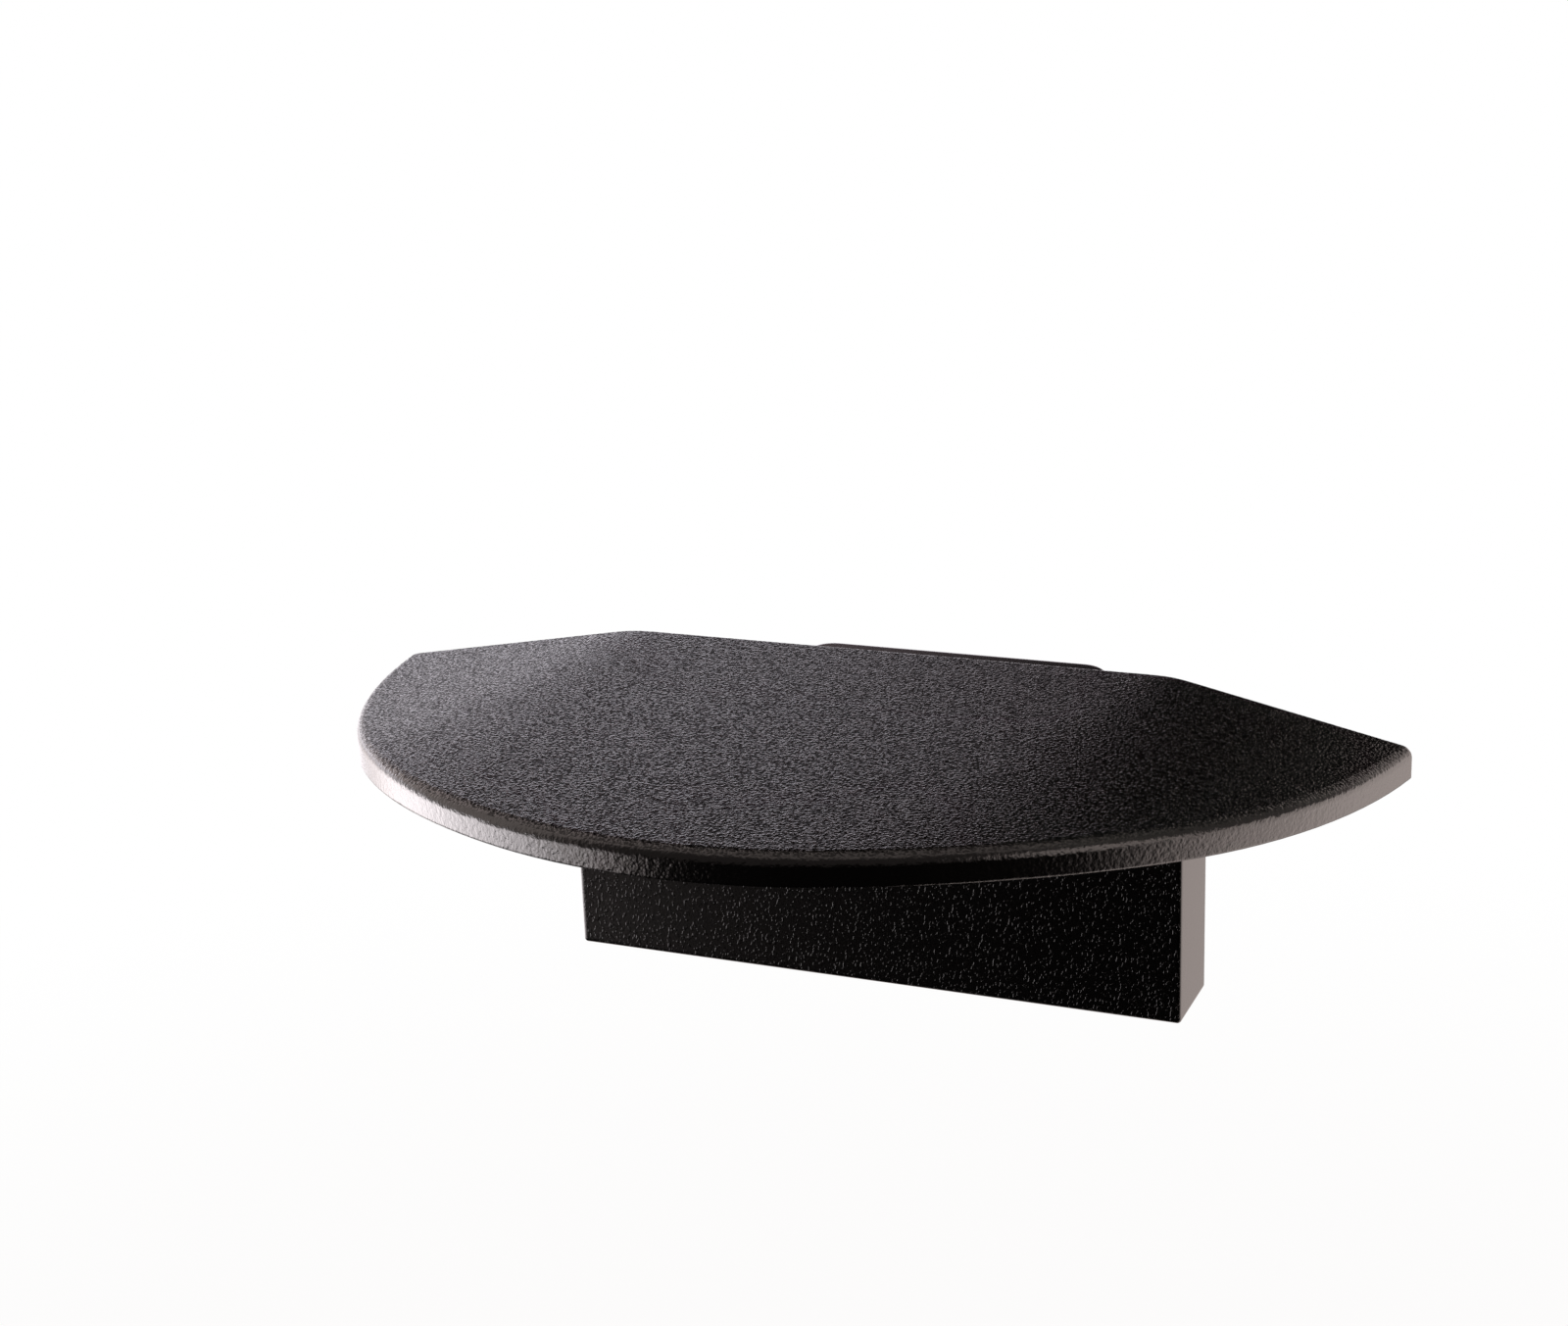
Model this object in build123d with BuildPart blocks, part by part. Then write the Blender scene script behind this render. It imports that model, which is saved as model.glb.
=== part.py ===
"""End cap for a half-round profile: a bent cover plate with a plug rib and a rear tongue.

One moulding. The origin is the middle of the plug where it leaves the plate, at the height of the
plate's underside, which seats on the end of the profile. X runs across the cap from tip to tip,
the plate reaches forward to -Y, the plug hangs down to -Z and the tongue reaches backward to +Y.
"""
import os
from math import cos, radians, sin, tan

from build123d import *

# Cover plate: the front of an ellipse, cut off behind by a straight edge and two swept ones
plate_thickness = 1.3
plate_depth = 26.8  # from the back edge to the foremost point of the outline
outline_width = 50.0  # full width of the ellipse
outline_setback = 2.5  # the centre of the ellipse lies this far behind the back edge
wing_sweep = 13.5  # degrees by which the back edges of the wings run forward
tip_radius = 0.6  # corners of the outline at the two tips
sweep_radius = 3.0  # corners of the outline where the back edge starts to run forward
rim_radius = 0.5  # rounded upper edge, all round

# Facets: a level one in the middle and a wing on each side, with a bend that widens to the front
centre_width = 26.8  # between the two lines in which the planes of the facets meet
wing_fall = 7.2  # degrees by which the wings drop
back_bend_reach = 1.0  # the bend runs this far to each side of its line, at the back edge
front_bend_reach = 6.0  # the same at the foremost point

# Plug: the rib that goes into the profile, flush with the back edge of the plate
plug_width = 30.0
plug_thickness = 4.4
plug_length = 13.7  # below the underside of the plate
plug_edge_radius = 0.2

# Tongue: a flat lug on the back of the plug
tongue_width = 16.0
tongue_reach = 9.6  # behind the plug
tongue_thickness = 2.0
tongue_drop = 1.5  # from the underside of the plate to the top of the tongue
tongue_corner_radius = 1.5
tongue_edge_radius = 0.6

overlap = 0.3  # a joined form starts this far inside its neighbour
margin = 0.5  # the bent strip is this much longer and wider than the outline
half_span = outline_width / 2 + margin
bend_x = centre_width / 2
back_y = plug_thickness / 2
front_y = back_y - plate_depth
strip_back_y = back_y + margin
strip_front_y = front_y - margin

# The wing's own plane: its X runs down the wing from the line where it meets the level plane
fall = radians(wing_fall)
wing_plane = Plane(origin=(bend_x, 0, 0), x_dir=(cos(fall), 0, -sin(fall)), z_dir=(sin(fall), 0, cos(fall)))
wing_length = (half_span - bend_x) / cos(fall)


def bend_reach(y):
    """How far the bend runs to each side of its line, at one place along Y."""
    share = (back_y - y) / plate_depth
    return back_bend_reach + share * (front_bend_reach - back_bend_reach)


def bend_section(y):
    """Cross section of the right-hand bend at one place along Y: the strip between two equal arcs."""
    reach = bend_reach(y)
    start = (bend_x - reach, 0)
    end = (bend_x + reach * cos(fall), -reach * sin(fall))
    with BuildSketch(Plane.XZ.offset(-y)) as section:
        with BuildLine():
            for height in (0, plate_thickness):
                TangentArc((start[0], start[1] + height), (end[0], end[1] + height), tangent=(1, 0))
            for x, z in (start, end):
                Line((x, z), (x, z + plate_thickness))
        make_face()
    return section.sketch


with BuildSketch() as outline:
    with Locations((0, back_y + outline_setback)):
        Ellipse(outline_width / 2, plate_depth + outline_setback)
    sweep_y = back_y - (half_span - bend_x) * tan(radians(wing_sweep))
    with BuildLine():
        Polyline(
            (-bend_x, back_y),
            (bend_x, back_y),
            (half_span, sweep_y),
            (half_span, strip_front_y),
            (-half_span, strip_front_y),
            (-half_span, sweep_y),
            close=True,
        )
    make_face(mode=Mode.INTERSECT)

with BuildPart() as plug:
    with BuildSketch(Plane.XY.offset(overlap)):
        RectangleRounded(plug_width, plug_thickness, plug_edge_radius)
    extrude(amount=-(overlap + plug_length))
    fillet(plug.faces().sort_by(Axis.Z)[0].edges(), plug_edge_radius)

with BuildPart() as tongue:
    with BuildSketch(Plane.XY.offset(-tongue_drop)) as tongue_shape:
        with Locations((0, back_y - overlap)):
            Rectangle(tongue_width, tongue_reach + overlap, align=(Align.CENTER, Align.MIN))
        fillet(tongue_shape.vertices().group_by(Axis.Y)[-1], tongue_corner_radius)
    extrude(amount=-tongue_thickness)
    top_edges = tongue.faces().sort_by(Axis.Z)[-1].edges()
    fillet(top_edges.sort_by(Axis.Y)[1:], tongue_edge_radius)

with BuildPart() as end_cap:
    # Bent strip: half of the level facet, the bend and the wing, then the same on the other side
    with BuildSketch():
        with BuildLine():
            Polyline(
                (0, strip_back_y),
                (bend_x - bend_reach(strip_back_y), strip_back_y),
                (bend_x - bend_reach(strip_front_y), strip_front_y),
                (0, strip_front_y),
                close=True,
            )
        make_face()
    extrude(amount=plate_thickness)
    loft([bend_section(strip_back_y), bend_section(strip_front_y)], ruled=True)
    with BuildSketch(wing_plane):
        with BuildLine():
            Polyline(
                (bend_reach(strip_back_y), strip_back_y),
                (wing_length, strip_back_y),
                (wing_length, strip_front_y),
                (bend_reach(strip_front_y), strip_front_y),
                close=True,
            )
        make_face()
    extrude(amount=plate_thickness, dir=(0, 0, 1))
    mirror(about=Plane.YZ)

    # Plate: the strip cut to the outline, with a corner at each tip and two where the edge is swept
    extrude(outline.sketch, amount=outline_width, both=True, mode=Mode.INTERSECT)
    corners = end_cap.edges().filter_by(Axis.Z).sort_by(Axis.X)
    fillet([corners[0], corners[-1]], tip_radius)
    fillet(end_cap.edges().filter_by(Axis.Z), sweep_radius)

    # The wall is now one smooth band, so its upper edge is rounded right round from its foremost stretch.
    # The lower edge is the parting line of the mould, and stays sharp.
    fillet(end_cap.edges().group_by(Axis.Y)[0].sort_by(Axis.Z)[-1], rim_radius)

    # The plug grows down out of the plate, and the tongue backward out of the plug
    add(plug.part)
    add(tongue.part)

end_cap.part.label = "end_cap"

os.makedirs("parts", exist_ok=True)
export_step(end_cap.part, "parts/end_cap.step")
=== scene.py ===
"""Profile end cap: one black moulding with a fine grain, held above a pale studio floor."""

import bpy
from mathutils import Matrix, Vector

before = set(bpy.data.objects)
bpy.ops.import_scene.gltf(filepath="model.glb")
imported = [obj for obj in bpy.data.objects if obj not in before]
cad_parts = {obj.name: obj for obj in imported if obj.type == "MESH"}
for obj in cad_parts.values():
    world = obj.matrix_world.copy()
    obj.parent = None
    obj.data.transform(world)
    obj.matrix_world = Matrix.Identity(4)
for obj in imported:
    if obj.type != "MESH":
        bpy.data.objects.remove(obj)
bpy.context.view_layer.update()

# Camera
# A short telephoto a hand's breadth from the cap, a little above it and to the right of its middle,
# and turned slightly in the hand.
camera = bpy.data.objects.new("camera", bpy.data.cameras.new("camera"))
camera_right = Vector((0.91901265, 0.39264426, -0.03530203))
camera_up = Vector((-0.08241623, 0.27892297, 0.95677037))
camera_back = camera_right.cross(camera_up)
camera_place = Vector((0.041560, -0.105074, 0.035497))
camera_turn = Matrix((camera_right, camera_up, camera_back)).transposed().to_4x4()
camera.matrix_world = Matrix.Translation(camera_place) @ camera_turn
camera.data.sensor_width = 36
camera.data.lens = 58.868
camera.data.clip_start = 0.01
camera.data.clip_end = 10
bpy.context.scene.collection.objects.link(camera)
bpy.context.scene.camera = camera

# The moulding
# Black plastic, injected into a spark-eroded mould. The plate and the rim carry a fine leathery grain,
# the front of the plug a coarse glittering one, and its other faces and the tongue are plain.
wing_start = 0.0134  # from the middle of the cap, where the wings begin to drop
wing_slope = 0.126  # a fall of 7.2 degrees
grain_depth = 0.00004
worn_edge = 0.00012
black = (0.0015, 0.0013, 0.0013, 1)  # under its sheen, which is a reflection


class Value:
    """A number that a material works out over the surface, so that the grain reads as a sum."""

    def __init__(self, tree, socket):
        self.tree = tree
        self.socket = socket

    def node(self, kind, settings=None, output=0, **inputs):
        made = self.tree.nodes.new(kind)
        for key, setting in (settings or {}).items():
            setattr(made, key, setting)
        for key, value in inputs.items():
            socket = made.inputs[int(key[1:])] if key[0] == "_" else made.inputs[key.replace("_", " ")]
            if isinstance(value, Value):
                self.tree.links.new(value.socket, socket)
            else:
                socket.default_value = value
        return Value(self.tree, made.outputs[output])

    def math(self, operation, a, b=0.0):
        return self.node("ShaderNodeMath", {"operation": operation}, _0=a, _1=b)

    def __add__(self, other):
        return self.math("ADD", self, other)

    def __radd__(self, other):
        return self.math("ADD", other, self)

    def __sub__(self, other):
        return self.math("SUBTRACT", self, other)

    def __rsub__(self, other):
        return self.math("SUBTRACT", other, self)

    def __mul__(self, other):
        return self.math("MULTIPLY", self, other)

    def __rmul__(self, other):
        return self.math("MULTIPLY", other, self)

    def step(self, low, high):
        """0 below low, 1 above high, and smooth between them."""
        smooth = {"interpolation_type": "SMOOTHSTEP"}
        return self.node("ShaderNodeMapRange", smooth, Value=self, From_Min=low, From_Max=high)


plastic = bpy.data.materials.new("black_plastic")
plastic.use_nodes = True
tree = plastic.node_tree
tree.nodes.clear()
start = Value(tree, None)
place = start.node("ShaderNodeTexCoord", output="Object")
x = start.node("ShaderNodeSeparateXYZ", output=0, _0=place)
z = start.node("ShaderNodeSeparateXYZ", output=2, _0=place)
facing = start.node("ShaderNodeNewGeometry", output="True Normal")
facing_y = start.node("ShaderNodeSeparateXYZ", output=1, _0=facing)
facing_z = start.node("ShaderNodeSeparateXYZ", output=2, _0=facing)

# The plug and the tongue are what hangs below the underside of the plate, which drops with the wings
from_middle = start.math("ABSOLUTE", x)
above_underside = z + start.math("MAXIMUM", from_middle - wing_start, 0.0) * wing_slope
on_plug = 1 - above_underside.step(-0.00018, -0.00006)
on_front = on_plug * (0 - facing_y).step(0.6, 0.9)
on_plain = on_plug - on_front
on_top = (1 - on_plug) * facing_z.step(0.6, 0.9)

# Fine grain of the plate and the rim: pebbles, whose pits on top of the plate get painted shade
# (below)
pebbles = start.node("ShaderNodeTexNoise", Vector=place, Scale=8000.0, Detail=1.0, Roughness=0.5)
swell = start.node("ShaderNodeTexNoise", Vector=place, Scale=4500.0, Detail=1.0, Roughness=0.5)
fine = on_top * pebbles * 1.2 + (1 - on_top) * (swell * 0.55 + pebbles * 0.35)
# Coarse grain of the plug's front: a nearly level ground with sparse steep crumbs, closer at its edges
lean = start.node("ShaderNodeMapping", Vector=place, Rotation=(0.0, -0.45, 0.0), Scale=(1.0, 1.0, 0.7))
crumbs = start.node("ShaderNodeTexNoise", Vector=lean, Scale=6000.0, Detail=1.0, Roughness=0.5)
crowd = from_middle.step(0.008, 0.015) * 0.02 + (0 - z).step(0.010, 0.0137) * 0.03
coarse = pebbles * 0.05 + (crumbs + crowd).step(0.58, 0.64) * 0.26
# Painted shade: mostly the pits between the bumps on top of the plate, and half of the plug's front,
# are mixed towards a copy without reflection, which darkens them and dims the glints
painted_shade = on_top * (0.77 - 0.7 * pebbles.step(0.42, 0.58)) + on_front * 0.5

height = fine * (1 - on_plug) + coarse * on_front + fine * on_plain * 0.03
worn = start.node("ShaderNodeBevel", {"samples": 6}, Radius=worn_edge)
bump = start.node("ShaderNodeBump", Strength=1.0, Distance=grain_depth, Height=height, Normal=worn)
glossy = start.node("ShaderNodeBsdfPrincipled", IOR=1.5, Roughness=0.18, Normal=bump)
glossy.socket.node.inputs["Base Color"].default_value = black
# A copy of the black plastic without any reflection: where it is mixed in, it paints shade
shaded_copy = start.node("ShaderNodeBsdfPrincipled", IOR=1.5, Roughness=0.9, Normal=bump)
shaded_copy.socket.node.inputs["Base Color"].default_value = black
shaded_copy.socket.node.inputs["Specular IOR Level"].default_value = 0.0
skin = start.node("ShaderNodeMixShader", _0=painted_shade, _1=glossy, _2=shaded_copy)
output = tree.nodes.new("ShaderNodeOutputMaterial")
tree.links.new(skin.socket, output.inputs["Surface"])

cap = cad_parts["end_cap"]
for material_slot in cap.material_slots:
    material_slot.material = plastic

# Studio
# A pale floor well below the cap, and a white room whose soft-edged panels stand behind the cap, on
# both sides, overhead and, dimly, in front. The room is lit by direction, with no lamps.
floor_mesh = bpy.data.meshes.new("floor")
reach = 6.0
depth = -0.08
floor_mesh.from_pydata(
    [(-reach, -reach, depth), (reach, -reach, depth), (reach, reach, depth), (-reach, reach, depth)],
    [], [(0, 1, 2, 3)],
)
floor = bpy.data.objects.new("floor", floor_mesh)
bpy.context.scene.collection.objects.link(floor)
paint = bpy.data.materials.new("pale_floor")
paint.use_nodes = True
paint.node_tree.nodes.clear()
ground = Value(paint.node_tree, None)
spot = ground.node("ShaderNodeTexCoord", output="Object")
away = ground.node("ShaderNodeVectorMath", {"operation": "LENGTH"}, output="Value", _0=spot)
seen = ground.node("ShaderNodeLightPath", output="Is Camera Ray")
# Seen directly, the floor is white, except near the cap, where less white glow is mixed in: a painted
# soft darkening, through which the real shadow shows
share = seen * (0.92 + 0.08 * away.step(0.10, 0.22))
matt = ground.node("ShaderNodeBsdfDiffuse", Color=(0.85, 0.85, 0.85, 1))
glow = ground.node("ShaderNodeEmission", Strength=1.0)
mixed = ground.node("ShaderNodeMixShader", _0=share, _1=matt, _2=glow)
end = paint.node_tree.nodes.new("ShaderNodeOutputMaterial")
paint.node_tree.links.new(mixed.socket, end.inputs["Surface"])
floor.data.materials.append(paint)
floor.visible_glossy = False
floor.visible_diffuse = False
floor.visible_shadow = False  # or it would hide the panels that stand lower than the cap

world = bpy.data.worlds.new("white_room")
world.use_nodes = True
bpy.context.scene.world = world
world.node_tree.nodes.clear()
room = Value(world.node_tree, None)
direction = room.node("ShaderNodeTexCoord", output="Generated")
rise = room.node("ShaderNodeSeparateXYZ", output=2, _0=direction)
across = room.node("ShaderNodeSeparateXYZ", output=0, _0=direction)
behind = room.node("ShaderNodeSeparateXYZ", output=1, _0=direction)
left = room.math("ARCTAN2", 0 - across, behind)  # radians to the left of straight behind


def between(value, start_low, start_high, end_low, end_high):
    """1 between two soft edges, the first rising and the second falling, and 0 outside them."""
    return value.step(start_low, start_high) * (1 - value.step(end_low, end_high))


def around(value, middle, inner, outer):
    """1 within the inner distance of the middle, falling to 0 at the outer one."""
    return 1 - room.math("ABSOLUTE", value - middle).step(inner, outer)


high_up = rise.step(-0.10, 0.02)
low_down = 1 - high_up

# Behind: a screen whose upper edge slants down to the right, a haze along its foot, the sweep of the
# backdrop under it, and a brighter strip of that sweep
slant = room.math("ARCSINE", rise) - left * 0.73 + 0.005
screen = 0.47 * (1 - slant.step(-0.06, 0.06)) * between(left, 0.20, 0.27, 1.2, 1.6) * high_up
haze = 2.1 * (1 - rise.step(0.08, 0.168)) * between(left, 0.2, 0.5, 1.2, 1.6) * high_up
sweep = 0.95 * between(left, -0.8, -0.4, 1.2, 1.6) * low_down
strip = 1.2 * between(left, -0.1, 0.1, 0.8, 1.0) * rise.step(-0.5, -0.3) * low_down
# Left: a strong low panel, a weaker one beside it, and a faint one above both
box_left = 8.5 * around(left, 1.75, 0.15, 0.94) * between(rise, -0.50, -0.42, -0.20, 0.0)
shoulder = 1.5 * between(left, 2.2, 2.4, 2.45, 2.75) * between(rise, -0.50, -0.42, -0.15, 0.0)
fill = 1.3 * between(left, 0.65, 0.95, 2.0, 2.5) * between(rise, -0.12, 0.12, 0.80, 0.95)
# Right: a low panel, a faint one above it, a narrow one towards the front, and the wall that runs
# from them to the back
box_right = 3.0 * around(left, -1.13, 0.15, 0.85) * (1 - rise.step(0.04, 0.14))
above_right = 0.40 * around(left, -1.2, 0.5, 0.9) * between(rise, 0.04, 0.14, 0.90, 0.98)
box_front = 2.2 * around(left, -1.90, 0.20, 0.40) * between(rise, -0.06, 0.04, 0.35, 0.45)
side = 1.1 * between(left, -0.9, -0.6, -0.08, 0.11) * (1 - rise.step(0.42, 0.50)) * high_up
# Overhead and in front
ceiling = 0.9 * rise.step(0.70, 0.95)
front = 0.2 * room.math("ABSOLUTE", left).step(1.5, 1.9) * rise.step(-0.05, 0.10)

seen = room.node("ShaderNodeLightPath", output="Is Camera Ray")
unseen = 1 - seen
white = room.node("ShaderNodeBackground", Color=(1, 1, 1, 1), Strength=seen + unseen * 0.005)
rose = room.node("ShaderNodeBackground", Color=(1.0, 0.93, 0.95, 1), Strength=unseen * box_left)
lilac = room.node("ShaderNodeBackground", Color=(1.0, 0.78, 0.82, 1), Strength=unseen * screen)
blue = room.node("ShaderNodeBackground", Color=(0.88, 0.90, 1.0, 1), Strength=unseen * (haze + strip))
warm_panels = sweep + shoulder + fill + box_right + above_right + box_front + side + ceiling + front
warm = room.node("ShaderNodeBackground", Color=(1.0, 0.86, 0.81, 1), Strength=unseen * warm_panels)
whole = white
for part in (rose, lilac, blue, warm):
    whole = room.node("ShaderNodeAddShader", _0=whole, _1=part)
end = world.node_tree.nodes.new("ShaderNodeOutputWorld")
world.node_tree.links.new(whole.socket, end.inputs["Surface"])

bpy.context.scene.view_settings.view_transform = "Standard"
